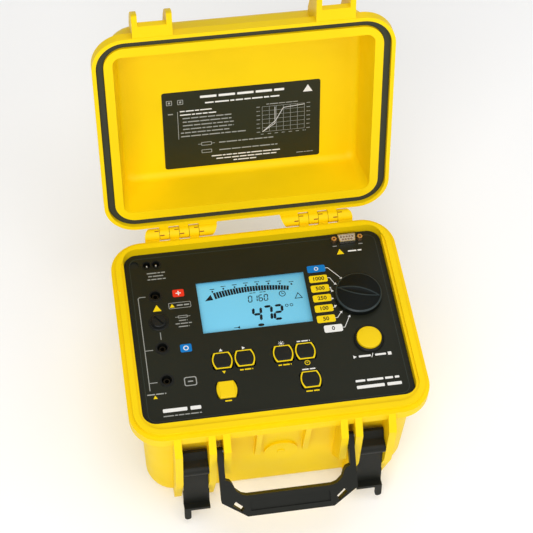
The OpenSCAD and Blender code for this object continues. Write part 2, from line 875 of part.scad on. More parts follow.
base_shell();
case_lid();
lid_gasket();
lid_label();
hinge_pin_left();
hinge_pin_right();
latch_left();
latch_right();
latch_pin_left();
latch_pin_right();
carry_handle();
handle_pins();
front_panel();
panel_seal();
panel_overlay();
display_window();
display_module();
range_knob();
knob_shaft();
rotary_switch();
switch_nut();
start_button();
start_collar();
start_switch();
key_second();
key_display();
key_ratio();
key_timer();
key_alarm();
key_program();
key_mat();
socket_positive();
socket_guard();
socket_negative();
contact_positive();
contact_guard();
contact_negative();
fuse_cap();
fuse_holder();
fuse_link();
mains_inlet();
inlet_pins();
serial_shell();
serial_insert();
serial_pins();
serial_jack_screws();
panel_posts();
case_screws();
main_board();
board_spacers();
board_screws();
power_board();
power_board_screws();
transformer_core();
transformer_coil();
battery_pack();
battery_strap();
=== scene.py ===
"""Looks of an insulation resistance tester in a hinged yellow case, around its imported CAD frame.

Lengths are in millimetres and are turned into metres by MM where a mesh is made. INK is the height
of one printed layer, KNOB_TURN is where the knob's ridge points, and KEY_W, KEY_D and FOOT are a
key's width, its depth and how far it reaches below the panel's face.
"""
import contextlib
import json
import math

import bmesh
import bpy
from mathutils import Matrix, Vector


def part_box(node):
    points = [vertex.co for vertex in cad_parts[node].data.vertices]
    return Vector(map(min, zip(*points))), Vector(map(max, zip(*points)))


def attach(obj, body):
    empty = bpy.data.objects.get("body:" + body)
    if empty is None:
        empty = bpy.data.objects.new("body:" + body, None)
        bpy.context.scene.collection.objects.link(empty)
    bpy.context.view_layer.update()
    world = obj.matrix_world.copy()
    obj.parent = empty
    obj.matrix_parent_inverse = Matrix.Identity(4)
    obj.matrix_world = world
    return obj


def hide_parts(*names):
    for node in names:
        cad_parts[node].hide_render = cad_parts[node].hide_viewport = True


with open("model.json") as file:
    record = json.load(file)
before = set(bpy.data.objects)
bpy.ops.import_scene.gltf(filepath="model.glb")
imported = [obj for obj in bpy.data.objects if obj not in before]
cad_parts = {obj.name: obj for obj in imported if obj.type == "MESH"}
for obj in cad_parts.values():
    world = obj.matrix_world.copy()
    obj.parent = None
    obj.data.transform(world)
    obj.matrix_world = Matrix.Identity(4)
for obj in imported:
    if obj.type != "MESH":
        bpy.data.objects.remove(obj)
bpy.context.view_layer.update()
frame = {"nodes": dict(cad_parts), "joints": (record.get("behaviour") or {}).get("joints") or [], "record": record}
nodes = frame["nodes"]

MM = 0.001
INK = 0.06
KNOB_TURN = -20
KEY_W = 18.4
KEY_D = 17.0
FOOT = -4.3
KEYS = {
    "key_second": (None, "bars"),
    "key_display": ("up", "down"),
    "key_ratio": ("right", "bars"),
    "key_timer": ("sun", "bars"),
    "key_alarm": ("bars", "clock"),
    "key_program": ("bars", "bars"),
}


# ---------------------------------------------------------------- places, from the CAD frame

def low(node):
    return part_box(node)[0] / MM


def high(node):
    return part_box(node)[1] / MM


def middle(node):
    return (low(node) + high(node)) / 2


def spot(node, height):
    """The matrix of a flat frame, in millimetres, over the middle of a node."""
    at = middle(node)
    return Matrix.Scale(MM, 4) @ Matrix.Translation((at.x, at.y, height))


PANEL_TOP = high("panel_overlay").z
ON_PANEL = Matrix.Scale(MM, 4) @ Matrix.Translation((0, 0, PANEL_TOP))


def label_frame(node):
    """The frame on a sheet's inner face: X along it, Y up it, Z out of it, and its width and height."""
    mesh = nodes[node].data
    facing = [p for p in mesh.polygons if p.normal.y < -0.5]
    normal = max(facing, key=lambda p: p.area).normal.normalized()
    across = Vector((1, 0, 0))
    up = normal.cross(across)
    corners = [mesh.vertices[i].co for p in facing for i in p.vertices]
    spans = [[c.dot(axis) for c in corners] for axis in (across, up, normal)]
    centre = across * (min(spans[0]) + max(spans[0])) / 2
    centre += up * (min(spans[1]) + max(spans[1])) / 2
    centre += normal * max(spans[2])
    turn = Matrix((across, up, normal)).transposed().to_4x4()
    size = [(max(s) - min(s)) / MM for s in spans[:2]]
    return Matrix.Translation(centre) @ turn @ Matrix.Scale(MM, 4), size[0], size[1]


# ---------------------------------------------------------------- materials

def shader(name, colour, roughness, **settings):
    """A material with a Principled shader, and the pieces that its texture nodes join."""
    material = bpy.data.materials.new(name)
    material.use_nodes = True
    tree = material.node_tree
    principled = tree.nodes["Principled BSDF"]
    principled.inputs["Base Color"].default_value = (*colour, 1)
    principled.inputs["Roughness"].default_value = roughness
    for socket, value in settings.items():
        principled.inputs[socket.replace("_", " ")].default_value = value
    place = tree.nodes.new("ShaderNodeTexCoord")
    return material, tree, principled, place.outputs["Object"]


def noise(tree, place, scale, detail=3.0, stretch=None):
    texture = tree.nodes.new("ShaderNodeTexNoise")
    texture.inputs["Scale"].default_value = scale
    texture.inputs["Detail"].default_value = detail
    if stretch:
        mapping = tree.nodes.new("ShaderNodeMapping")
        mapping.inputs["Scale"].default_value = stretch
        tree.links.new(place, mapping.inputs["Vector"])
        place = mapping.outputs["Vector"]
    tree.links.new(place, texture.inputs["Vector"])
    return texture.outputs["Fac"]


def spread(tree, value, lowest, highest, start=0.3, end=0.7):
    ramp = tree.nodes.new("ShaderNodeMapRange")
    ramp.inputs["From Min"].default_value = start
    ramp.inputs["From Max"].default_value = end
    ramp.inputs["To Min"].default_value = lowest
    ramp.inputs["To Max"].default_value = highest
    tree.links.new(value, ramp.inputs["Value"])
    return ramp.outputs["Result"]


def tint(tree, value, first, second):
    mix = tree.nodes.new("ShaderNodeMix")
    mix.data_type = "RGBA"
    mix.inputs["A"].default_value = (*first, 1)
    mix.inputs["B"].default_value = (*second, 1)
    tree.links.new(value, mix.inputs["Factor"])
    return mix.outputs["Result"]


def relief(tree, principled, value, depth, strength=1.0):
    bump = tree.nodes.new("ShaderNodeBump")
    bump.inputs["Strength"].default_value = strength
    bump.inputs["Distance"].default_value = depth * MM
    tree.links.new(value, bump.inputs["Height"])
    tree.links.new(bump.outputs["Normal"], principled.inputs["Normal"])


def moulded(name, colour, roughness, grain=1400, depth=0.012, change=0.04, shine=0.25):
    """Moulded plastic: a fine spark texture, faint flow marks in the colour and in the gloss."""
    material, tree, principled, place = shader(name, colour, roughness, Specular_IOR_Level=shine)
    fine = noise(tree, place, grain, 4)
    broad = noise(tree, place, 14, 3)
    darker = [c * (1 - change) for c in colour]
    lighter = [min(1, c * (1 + change)) for c in colour]
    shade = tint(tree, spread(tree, broad, 0, 1), darker, lighter)
    tree.links.new(shade, principled.inputs["Base Color"])
    gloss = spread(tree, noise(tree, place, 60, 4), roughness * 0.86, roughness * 1.12)
    tree.links.new(gloss, principled.inputs["Roughness"])
    relief(tree, principled, fine, depth)
    return material


def printed(name, colour, roughness=0.45):
    """Screen-printed ink, with the small unevenness of the mesh it was printed through."""
    material, tree, principled, place = shader(name, colour, roughness, Specular_IOR_Level=0.2)
    grid = noise(tree, place, 1800, 2)
    shade = tint(tree, spread(tree, grid, 0, 1), [c * 0.93 for c in colour], colour)
    tree.links.new(shade, principled.inputs["Base Color"])
    relief(tree, principled, grid, 0.006)
    return material


def metal(name, colour, roughness, stretch=None):
    material, tree, principled, place = shader(name, colour, roughness, Metallic=1.0)
    marks = noise(tree, place, 300, 4, stretch)
    gloss = spread(tree, marks, roughness * 0.7, roughness * 1.35)
    tree.links.new(gloss, principled.inputs["Roughness"])
    shade = tint(tree, spread(tree, noise(tree, place, 80, 2), 0, 1), [c * 0.85 for c in colour], colour)
    tree.links.new(shade, principled.inputs["Base Color"])
    relief(tree, principled, marks, 0.004)
    return material


def board(name, colour):
    """Solder mask over copper tracks."""
    material, tree, principled, place = shader(name, colour, 0.35)
    tracks = tree.nodes.new("ShaderNodeTexBrick")
    tracks.inputs["Scale"].default_value = 180
    tracks.inputs["Color1"].default_value = (*[c * 1.5 for c in colour], 1)
    tracks.inputs["Color2"].default_value = (*colour, 1)
    tracks.inputs["Mortar"].default_value = (*[c * 0.6 for c in colour], 1)
    tree.links.new(place, tracks.inputs["Vector"])
    tree.links.new(tracks.outputs["Color"], principled.inputs["Base Color"])
    relief(tree, principled, tracks.outputs["Fac"], 0.03)
    return material


def film(name, colour):
    """The panel's printed film: a fine matt grain with long soft changes of shade."""
    material, tree, principled, place = shader(name, colour, 0.42, Specular_IOR_Level=0.25)
    grain = noise(tree, place, 2600, 2)
    broad = noise(tree, place, 9, 2)
    shade = tint(tree, spread(tree, broad, 0, 1), [c * 0.88 for c in colour], [c * 1.12 for c in colour])
    tree.links.new(shade, principled.inputs["Base Color"])
    gloss = spread(tree, noise(tree, place, 120, 3), 0.38, 0.47)
    tree.links.new(gloss, principled.inputs["Roughness"])
    relief(tree, principled, grain, 0.008)
    return material


def make_materials():
    return {
        "case_yellow": moulded("case_yellow", (0.93, 0.65, 0.002), 0.45, shine=0.15),
        "seal_rubber": moulded("seal_rubber", (0.04, 0.044, 0.028), 0.62, 900, 0.02),
        "label_black": film("label_black", (0.022, 0.023, 0.0085)),
        "pin_steel": metal("pin_steel", (0.62, 0.61, 0.6), 0.3),
        "latch_black": moulded("latch_black", (0.011, 0.0115, 0.0085), 0.46, 1600, 0.02, shine=0.2),
        "panel_black": moulded("panel_black", (0.012, 0.014, 0.011), 0.5),
        "overlay_film": film("overlay_film", (0.0108, 0.0124, 0.0062)),
        "clear_window": window_glass("clear_window"),
        "display_glass": lit_display("display_glass", (0.18, 0.61, 0.86)),
        "knob_black": moulded("knob_black", (0.0035, 0.005, 0.0042), 0.5, 1800, 0.012, shine=0.14),
        # a lighter, glossier black for the knob's painted highlights
        "knob_highlight_paint": moulded("knob_highlight_paint", (0.02, 0.032, 0.033), 0.34, 1800, 0.01, shine=0.35),
        "button_yellow": moulded("button_yellow", (0.88, 0.61, 0.003), 0.42, shine=0.2),
        "key_rubber": moulded("key_rubber", (0.008, 0.009, 0.007), 0.55, 1500, 0.012),
        "socket_black": moulded("socket_black", (0.007, 0.008, 0.007), 0.42, 1500, 0.01),
        "contact_brass": metal("contact_brass", (0.78, 0.56, 0.26), 0.28),
        # a dark dull metal for the socket contacts: painted shade deep in their wells
        "contact_painted_shade": metal("contact_painted_shade", (0.04, 0.033, 0.022), 0.55),
        "nickel": metal("nickel", (0.8, 0.76, 0.68), 0.32),
        "insert_cream": moulded("insert_cream", (0.5, 0.43, 0.34), 0.5),
        "board_green": board("board_green", (0.02, 0.13, 0.04)),
        "core_iron": metal("core_iron", (0.16, 0.16, 0.17), 0.55, (1, 1, 30)),
        "coil_copper": moulded("coil_copper", (0.55, 0.24, 0.04), 0.35, 500, 0.05),
        "cell_sleeve": moulded("cell_sleeve", (0.05, 0.13, 0.38), 0.25, 400, 0.01),
        "ink_white": printed("ink_white", (0.86, 0.86, 0.84)),
        "ink_grey": printed("ink_grey", (0.36, 0.37, 0.35)),
        "ink_faint": printed("ink_faint", (0.035, 0.044, 0.038)),
        "ink_yellow": printed("ink_yellow", (0.93, 0.68, 0.004)),
        "ink_blue": printed("ink_blue", (0.0, 0.19, 0.58)),
        "ink_red": printed("ink_red", (0.82, 0.035, 0.012)),
        "ink_black": printed("ink_black", (0.008, 0.009, 0.008)),
        "segment_black": printed("segment_black", (0.001, 0.004, 0.008), 0.5),
        # dark brown for the painted shade in the hinge slots
        "slot_painted_shade": moulded("slot_painted_shade", (0.36, 0.12, 0.01), 0.6),
        "pin_brown": metal("pin_brown", (0.2, 0.1, 0.05), 0.5),
        "jack_copper": metal("jack_copper", (0.8, 0.5, 0.28), 0.35),
    }


def window_glass(name):
    """A clear window, seen through, with a faint gloss."""
    material, tree, principled, place = shader(name, (0.03, 0.05, 0.06), 0.08, Alpha=0.05)
    gloss = spread(tree, noise(tree, place, 40, 2), 0.06, 0.12)
    tree.links.new(gloss, principled.inputs["Roughness"])
    return material


def lit_display(name, colour):
    """The display's pale blue polariser, lit a little from behind."""
    material, tree, principled, place = shader(
        name, colour, 0.35, Emission_Color=(*colour, 1), Emission_Strength=0.2)
    broad = noise(tree, place, 18, 1)
    shade = tint(tree, spread(tree, broad, 0, 1), [c * 0.95 for c in colour], colour)
    tree.links.new(shade, principled.inputs["Base Color"])
    relief(tree, principled, noise(tree, place, 2500, 1), 0.003)
    return material


PAINT = make_materials()


# ---------------------------------------------------------------- mesh building

def put(name, mesh, paint, body, smooth=40):
    """Finishes a mesh: smooth shading with sharp creases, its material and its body."""
    mesh.shade_smooth()
    mesh.set_sharp_from_angle(angle=math.radians(smooth))
    piece = bpy.data.objects.new(name, mesh)
    bpy.context.scene.collection.objects.link(piece)
    mesh.materials.append(PAINT[paint])
    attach(piece, body)
    return piece


def made_mesh(name, work, place):
    bmesh.ops.transform(work, matrix=place, verts=work.verts)
    bmesh.ops.recalc_face_normals(work, faces=work.faces)
    mesh = bpy.data.meshes.new(name)
    work.to_mesh(mesh)
    work.free()
    return mesh


def loft(work, loops, caps=True):
    """Joins loops of points, each as long as the next, with quads, and closes both ends."""
    rows = [[work.verts.new(p) for p in loop] for loop in loops]
    count = len(rows[0])
    for a, b in zip(rows, rows[1:]):
        for i in range(count):
            j = (i + 1) % count
            work.faces.new((a[i], a[j], b[j], b[i]))
    if caps:
        work.faces.new(rows[0])
        work.faces.new(list(reversed(rows[-1])))
    return rows


def hoop(work, loops):
    """Joins loops of points to each other, and the last to the first."""
    rows = [[work.verts.new(p) for p in loop] for loop in loops]
    for a, b in zip(rows, rows[1:] + rows[:1]):
        for i in range(len(a)):
            j = (i + 1) % len(a)
            work.faces.new((a[i], a[j], b[j], b[i]))


@contextlib.contextmanager
def moved(work, by):
    """Moves what is added to a mesh in the meantime."""
    start = len(work.verts)
    yield
    work.verts.ensure_lookup_table()
    bmesh.ops.translate(work, vec=by, verts=work.verts[start:])


def lathe(work, profile, segments=72):
    """Turns a profile of (radius, height) points about Z. A point at radius 0 closes it."""
    rings = []
    for radius, height in profile:
        if radius == 0:
            rings.append([work.verts.new((0, 0, height))])
            continue
        ring = []
        for k in range(segments):
            angle = 2 * math.pi * k / segments
            ring.append(work.verts.new((radius * math.cos(angle), radius * math.sin(angle), height)))
        rings.append(ring)
    for a, b in zip(rings, rings[1:]):
        for k in range(segments):
            j = (k + 1) % segments
            if len(a) == 1:
                work.faces.new((a[0], b[k], b[j]))
            elif len(b) == 1:
                work.faces.new((a[k], a[j], b[0]))
            else:
                work.faces.new((a[k], a[j], b[j], b[k]))


def soften(node, width, segments=2, angle=32):
    """Rounds a CAD node's moulded edges with modifiers, and leaves its mesh as it is."""
    piece = nodes[node]
    weld = piece.modifiers.new("weld", "WELD")
    weld.merge_threshold = 0.004 * MM
    bevel = piece.modifiers.new("rounded edges", "BEVEL")
    bevel.width = width * MM
    bevel.segments = segments
    bevel.limit_method = "ANGLE"
    bevel.angle_limit = math.radians(angle)
    bevel.use_clamp_overlap = True
    bevel.harden_normals = False
    normals = piece.modifiers.new("even shading", "WEIGHTED_NORMAL")
    normals.keep_sharp = False


# ---------------------------------------------------------------- outlines, in millimetres

def arc(cx, cy, radius, start, end, steps):
    return [(cx + radius * math.cos(math.radians(start + (end - start) * k / steps)),
             cy + radius * math.sin(math.radians(start + (end - start) * k / steps)))
            for k in range(steps + 1)]


def disc(cx, cy, radius, steps=28):
    return arc(cx, cy, radius, 0, 360, steps)[:-1]


def box(cx, cy, w, h, r=0.0, steps=5):
    if r <= 0:
        return [(cx + sx * w / 2, cy + sy * h / 2) for sx, sy in ((-1, -1), (1, -1), (1, 1), (-1, 1))]
    points = []
    for sx, sy, start in ((1, 1, 0), (-1, 1, 90), (-1, -1, 180), (1, -1, 270)):
        points += arc(cx + sx * (w / 2 - r), cy + sy * (h / 2 - r), r, start, start + 90, steps)
    return points


def triangle(cx, cy, size, heading):
    """An equal-sided triangle whose tip points along heading, in degrees."""
    angles = [math.radians(heading + turn) for turn in (0, 120, 240)]
    return [(cx + size * math.cos(angle), cy + size * math.sin(angle)) for angle in angles]


def cross(cx, cy, reach, half):
    """A plus sign, as one outline."""
    quarter = [(half, half), (half, reach), (-half, reach)]
    points = []
    for _ in range(4):
        points += quarter
        quarter = [(-y, x) for x, y in quarter]
    return [(cx + x, cy + y) for x, y in points]


def barrel(w, h, grow=0.0, steps=8):
    """A key's outline: straight front and back, bowed sides."""
    half_w, half_h = w / 2 + grow, h / 2 + grow
    bow = 0.14 * w
    corner = half_w - bow
    points = []
    for side in (1, -1):
        for k in range(-steps, steps + 1):
            y = half_h * k / steps
            x = corner + bow * math.cos(math.pi / 2 * (y / half_h) * 0.98) ** 0.8
            points.append((side * x, side * y))
    return points


class Ink:
    """Flat printed shapes gathered into one thin mesh."""

    def __init__(self, place):
        self.work = bmesh.new()
        self.place = place

    def fill(self, loop, level=1):
        z0, z1 = -0.03, INK * level
        loft(self.work, [[(x, y, z) for x, y in loop] for z in (z0, z1)])

    def ring(self, outer, inner, level=1):
        z1 = INK * level
        loops = [[(x, y, z) for x, y in loop] for loop, z in
                 ((inner, -0.03), (outer, -0.03), (outer, z1), (inner, z1))]
        hoop(self.work, loops)

    def line(self, points, width, level=1):
        """A line through points, drawn as one outline with mitred corners."""
        left, right = [], []
        for i, (x, y) in enumerate(points):
            before = points[max(i - 1, 0)]
            after = points[min(i + 1, len(points) - 1)]
            first = Vector((x - before[0], y - before[1]))
            second = Vector((after[0] - x, after[1] - y))
            first = first.normalized() if first.length else second.normalized()
            second = second.normalized() if second.length else first
            way = (first + second).normalized()
            normal = Vector((-way.y, way.x))
            reach = width / 2 / max(0.35, way.dot(first))
            left.append((x + normal.x * reach, y + normal.y * reach))
            right.append((x - normal.x * reach, y - normal.y * reach))
        for i in range(len(points) - 1):
            self.fill([right[i], right[i + 1], left[i + 1], left[i]], level)

    def words(self, x, y, width, height, level=1, seed=1):
        """A row of plain bars that stands where a printed legend would be."""
        at, k = x, seed
        while at < x + width - 0.3 * height:
            k = (k * 7 + 3) % 11
            length = min(height * (1.5 + 0.4 * k), x + width - at)
            self.fill(box(at + length / 2, y, length, height * 0.58, height * 0.12, 3), level)
            at += length + height * 0.45

    def numerals(self, x, y, height, figures, level=2):
        """Plain printed numerals, centred on a point."""
        curve = bpy.data.curves.new("numerals", "FONT")
        curve.body = figures
        curve.size = height / 0.7
        curve.offset = height * 0.03
        curve.resolution_u = 3
        curve.extrude = INK * level
        curve.align_x, curve.align_y = "CENTER", "CENTER"
        holder = bpy.data.objects.new("numerals", curve)
        bpy.context.scene.collection.objects.link(holder)
        graph = bpy.context.evaluated_depsgraph_get()
        mesh = bpy.data.meshes.new_from_object(holder.evaluated_get(graph))
        mesh.transform(Matrix.Translation((x, y, 0)))
        self.work.from_mesh(mesh)
        bpy.data.objects.remove(holder)
        bpy.data.curves.remove(curve)
        bpy.data.meshes.remove(mesh)
        bmesh.ops.remove_doubles(self.work, verts=self.work.verts, dist=1e-4)

    def done(self, name, paint, body):
        return put(name, made_mesh(name, self.work, self.place), paint, body, smooth=30)


SEGMENTS = {"0": "abcdef", "1": "bc", "2": "abged", "3": "abgcd", "4": "fgbc", "5": "afgcd",
            "6": "afgedc", "7": "abc", "8": "abcdefg", "9": "abcdfg"}


def digit(ink, cx, cy, height, figure, thick=0.13, level=1):
    """One seven-bar numeral, leaning a little."""
    w, h = height * 0.48, height
    t = height * thick
    gap = t * 0.12
    lean = 0.1

    def bar(x0, y0, x1, y1):
        along = Vector((x1 - x0, y1 - y0)).normalized()
        side = Vector((-along.y, along.x)) * t / 2
        a = Vector((x0, y0)) + along * gap
        b = Vector((x1, y1)) - along * gap
        points = [a, a + along * t / 2 + side, b - along * t / 2 + side, b,
                  b - along * t / 2 - side, a + along * t / 2 - side]
        ink.fill([(cx + p.x + p.y * lean, cy + p.y) for p in points], level)

    x, y = w / 2, h / 2
    bars = {"a": (-x, y, x, y), "b": (x, y, x, 0), "c": (x, 0, x, -y), "d": (-x, -y, x, -y),
            "e": (-x, 0, -x, -y), "f": (-x, y, -x, 0), "g": (-x, 0, x, 0)}
    for name in SEGMENTS[figure]:
        bar(*bars[name])


def number(ink, cx, cy, height, figures, thick=0.16, level=1, pitch=0.78):
    for k, figure in enumerate(figures):
        digit(ink, cx + (k - (len(figures) - 1) / 2) * height * pitch, cy, height, figure, thick, level)


# ---------------------------------------------------------------- CAD nodes

def dress_cad():
    """Every CAD node takes the material of its slot or the one set for it here, and the moulded ones rounded
    edges; the socket contacts take a dark metal as painted shade in their wells.
    """
    paints = {part["node"]: part["material_slot"] for part in frame["record"]["subparts"]}
    # The socket contacts get dark metal as painted shade in the wells.
    paints.update({"contact_positive": "contact_painted_shade", "contact_guard": "contact_painted_shade",
                   "contact_negative": "contact_painted_shade", "serial_shell": "nickel",
                   "serial_insert": "insert_cream", "serial_pins": "pin_brown",
                   "serial_jack_screws": "jack_copper"})
    for name, piece in nodes.items():
        piece.data.materials.clear()
        piece.data.materials.append(PAINT[paints[name]])
    for name, width in {"base_shell": 0.9, "case_lid": 0.9, "carry_handle": 0.9, "latch_left": 0.5,
                        "latch_right": 0.5, "start_collar": 0.3, "fuse_cap": 0.25, "lid_gasket": 0.5,
                        "serial_shell": 0.12, "mains_inlet": 0.2}.items():
        soften(name, width)


def collars():
    """Raised collars round the sockets and the fuse."""
    socket, fuse, sunk = (4.9, 6.5, 0.45), (7.6, 9.4, 0.7), -0.2
    for name, (inner, outer, rise) in (("socket_positive", socket), ("socket_guard", socket),
                                       ("socket_negative", socket), ("fuse_holder", fuse)):
        work = bmesh.new()
        lathe(work, [(inner, sunk), (outer, sunk), (outer, rise * 0.5), (outer - 0.25, rise * 0.85),
                     (outer - 0.6, rise), (inner + 0.5, rise), (inner + 0.15, rise * 0.8),
                     (inner, rise * 0.3), (inner, sunk)], 56)
        mesh = made_mesh(name + "_collar", work, spot(name, PANEL_TOP))
        put(name + "_collar", mesh, "socket_black", "base")


def inlet_pins():
    """The inlet's two round-ended pins, a little below the panel's face."""
    lo, hi = low("inlet_pins"), high("inlet_pins")
    radius = (hi.y - lo.y) / 2
    shoulder = PANEL_TOP - 2.2
    profile = [(0, lo.z), (radius, lo.z), (radius, shoulder)]
    profile += [(x, shoulder + y) for x, y in arc(0, 0, radius, 30, 60, 1)]
    profile.append((0, shoulder + radius))
    work = bmesh.new()
    for x in (lo.x + radius, hi.x - radius):
        with moved(work, (x, (lo.y + hi.y) / 2, 0)):
            lathe(work, profile, 24)
    mesh = made_mesh("inlet_pin_pair", work, Matrix.Scale(MM, 4))
    pins = put("inlet_pin_pair", mesh, "nickel", "base")
    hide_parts("inlet_pins")


def serial_face():
    """The connector's moulded insert, with its nine contacts in two rows."""
    lo, hi = low("serial_insert"), high("serial_insert")
    cx, cy = (lo.x + hi.x) / 2, (lo.y + hi.y) / 2
    w, d = (hi.x - lo.x) / 2, (hi.y - lo.y) / 2
    top = high("serial_shell").z - 0.7
    pitch, hole, outer = 2.76, 0.42, 0.95
    work = bmesh.new()
    outline = [(-w, d), (-w + 1.0, -d), (w - 1.0, -d), (w, d)]
    loft(work, [[(cx + x * k, cy + y * k, z) for x, y in outline] for z, k in
                ((lo.z, 1), (top - 0.2, 1), (top, 0.96))])
    mesh = made_mesh("serial_face", work, Matrix.Scale(MM, 4))
    plate = put("serial_face", mesh, "insert_cream", "base", 30)
    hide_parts("serial_insert")
    work = bmesh.new()
    for count, y in ((5, d * 0.4), (4, -d * 0.4)):
        for k in range(count):
            with moved(work, (cx + (k - (count - 1) / 2) * pitch, cy + y, 0)):
                lathe(work, [(hole, top - 1), (outer, top - 1), (outer, top + 0.12), (hole, top + 0.18),
                             (hole, top - 1)], 14)
    mesh = made_mesh("serial_contacts", work, Matrix.Scale(MM, 4))
    pins = put("serial_contacts", mesh, "pin_brown", "base")
    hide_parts("serial_pins")


def hinge_slot_shade():
    """Dark brown strips on the floors of the small slots at the hinge knuckles' tips, as painted shade."""
    hinge = next(j for j in frame["joints"] if j["name"] == "lid_hinge")
    axis = Vector(hinge["pos_m"]) / MM
    length, thick, height = 3.9, 0.3, 1.0
    out, inset = 5.35, 2.1
    for body, starts, angle in (("base", (86.0, 67.2, 48.4), 95), ("lid", (81.0, 62.2, 43.4), 140)):
        turn = Matrix.Rotation(math.radians(angle), 4, "X")
        work = bmesh.new()
        for start in starts:
            for side in (-1, 1):
                at = Matrix.Translation((side * (start + inset), axis.y, axis.z))
                at = at @ turn @ Matrix.Translation((0, out, 0))
                bmesh.ops.create_cube(work, size=1, matrix=at @ Matrix.Diagonal((length, thick, height, 1)))
        name = "hinge_slot_shade_" + body
        put(name, made_mesh(name, work, Matrix.Scale(MM, 4)), "slot_painted_shade", body, 30)


# ---------------------------------------------------------------- knob, button, keys

def range_knob():
    """A low disc with a bevelled rim, whose face climbs to the edges of a hollow lens-shaped ridge; lighter strips
    on the ridge's edges and the rim's bevel are painted highlights.
    """
    at = spot("range_knob", low("range_knob").z) @ Matrix.Rotation(math.radians(KNOB_TURN), 4, "Z")
    radius = (high("range_knob").x - low("range_knob").x) / 2
    tall = high("range_knob").z - low("range_knob").z
    rim, edge = tall - 2.6, radius - 1.9
    half, sag, hollow = 4.3, 1.6, 1.3
    turns, rings = 112, 26
    circle = [(math.cos(2 * math.pi * k / turns), math.sin(2 * math.pi * k / turns)) for k in range(turns)]

    def crest(x):
        return tall - 0.14 - sag * (x / edge) ** 2

    def face(x, y):
        """Height of the knob's face: a slope from the rim to the ridge, and the ridge's hollow top."""
        ridge = half * (1 - (x / edge) ** 2)
        aside = abs(y) - ridge
        if aside <= 0:
            return crest(x) - hollow * (1 - (y / ridge) ** 2 if ridge else 0)
        room = math.sqrt(max(0, edge ** 2 - x ** 2)) - ridge
        part = min(1, aside / room) if room > 0.001 else 1
        return crest(x) + (rim - crest(x)) * part

    work = bmesh.new()
    loops = [[(r * c, r * s, z) for c, s in circle] for r, z in
             ((radius, 0), (radius, rim - 1.9), (radius - 0.25, rim - 1.2), (radius - 1.3, rim - 0.15),
              (edge + 0.2, rim))]
    for ring in range(rings):
        r = edge * (1 - ring / rings) ** 0.9
        loops.append([(r * c, r * s, face(r * c, r * s)) for c, s in circle])
    loft(work, loops)
    body = put("knob_body", made_mesh("knob_body", work, at), "knob_black", "range_knob", 35)
    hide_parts("range_knob")

    # Painted highlights: lighter strips along the ridge's edges and round the rim's bevel.
    work = bmesh.new()
    outer, inner = lens(edge, half), lens(edge - 2.4, half - 1.15)
    hoop(work, [[(x, y, crest(x) - drop) for x, y in loop] for loop, drop in
                ((outer, 0.9), (outer, 0.0), (inner, 0.0), (inner, 0.9))])
    hoop(work, [[(r * c, r * s, z) for c, s in circle] for r, z in
                ((radius - 0.9, rim - 0.9), (radius - 0.23, rim - 1.15), (radius - 0.7, rim - 0.5),
                 (radius - 1.28, rim - 0.12), (edge + 0.2, rim + 0.03), (edge + 0.2, rim - 0.5))])
    put("knob_highlight_strips", made_mesh("knob_highlight_strips", work, at), "knob_highlight_paint", "range_knob", 35)


def lens(length, half, steps=24):
    """A lens with its tips at plus and minus length on X."""
    points = []
    for side in (1, -1):
        for k in range(steps):
            t = math.cos(math.pi * k / steps)
            points.append((side * t * length, side * half * (1 - t * t)))
    return points


def key(name, paint, edge):
    """A key cap with bowed sides: a skirt, a coloured edge, and a crowned middle."""
    top = high(name).z
    at = spot(name, PANEL_TOP)
    rise = top - PANEL_TOP
    work = bmesh.new()
    if edge:
        levels = [(FOOT, 0.0), (rise - 0.9, 0.0), (rise - 0.62, -0.25), (rise - 0.62, -1.3),
                  (rise - 0.3, -1.5), (rise - 0.06, -2.0), (rise, -3.0)]
        loops = [[(x, y, z) for x, y in barrel(KEY_W, KEY_D, grow)] for z, grow in levels]
    else:
        loops = [[(x, y, z) for x, y in barrel(KEY_W, KEY_D, grow)] for z, grow in
                 ((FOOT, 0.0), (rise - 1.3, 0.0), (rise - 1.1, -0.3))]
        loops += [[(max(-flat, min(flat, x)), max(-deep, min(deep, y)), z)
                   for x, y in barrel(KEY_W, KEY_D, -0.4)] for z, flat, deep in
                  ((rise - 0.2, KEY_W * 0.36, KEY_D * 0.455), (rise, KEY_W * 0.345, KEY_D * 0.44))]
    loft(work, loops)
    cap = put(name + "_cap", made_mesh(name + "_cap", work, at), paint, name, 35)
    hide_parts(name)
    if edge:
        work = bmesh.new()
        loops = [[(x, y, z) for x, y in barrel(KEY_W, KEY_D, grow)] for z, grow in
                 ((rise - 1.1, -0.1), (rise - 0.85, 0.04), (rise - 0.6, -0.12), (rise - 0.55, -0.5),
                  (rise - 0.6, -1.1), (rise - 1.1, -1.15))]
        hoop(work, loops)
        put(name + "_edge", made_mesh(name + "_edge", work, at), edge, name, 35)


def start_button():
    at = spot("start_button", low("start_button").z)
    radius = (high("start_button").x - low("start_button").x) / 2
    tall = high("start_button").z - low("start_button").z
    work = bmesh.new()
    lathe(work, [(0, 0), (radius - 3, 0), (radius - 3, 5), (radius, 5), (radius, tall - 1.5),
                 (radius - 0.12, tall - 0.95), (radius - 0.5, tall - 0.6), (radius - 1.1, tall - 0.45),
                 (radius - 1.5, tall - 0.5), (radius - 1.9, tall - 0.42), (radius * 0.6, tall - 0.12),
                 (radius * 0.3, tall - 0.03), (0, tall)], 96)
    mesh = made_mesh("start_cap", work, at)
    cap = put("start_cap", mesh, "button_yellow", "start_button", 30)
    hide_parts("start_button")


# ---------------------------------------------------------------- panel print

def panel_edge_line():
    lo, hi = low("panel_overlay"), high("panel_overlay")
    w, d = hi.x - lo.x, hi.y - lo.y
    cx, cy = (lo.x + hi.x) / 2, (lo.y + hi.y) / 2
    ink = Ink(ON_PANEL)
    ink.ring(box(cx, cy, w - 5, d - 5, 8, 8), box(cx, cy, w - 6, d - 6, 7.5, 8))
    ink.done("panel_border_line", "ink_faint", "base")


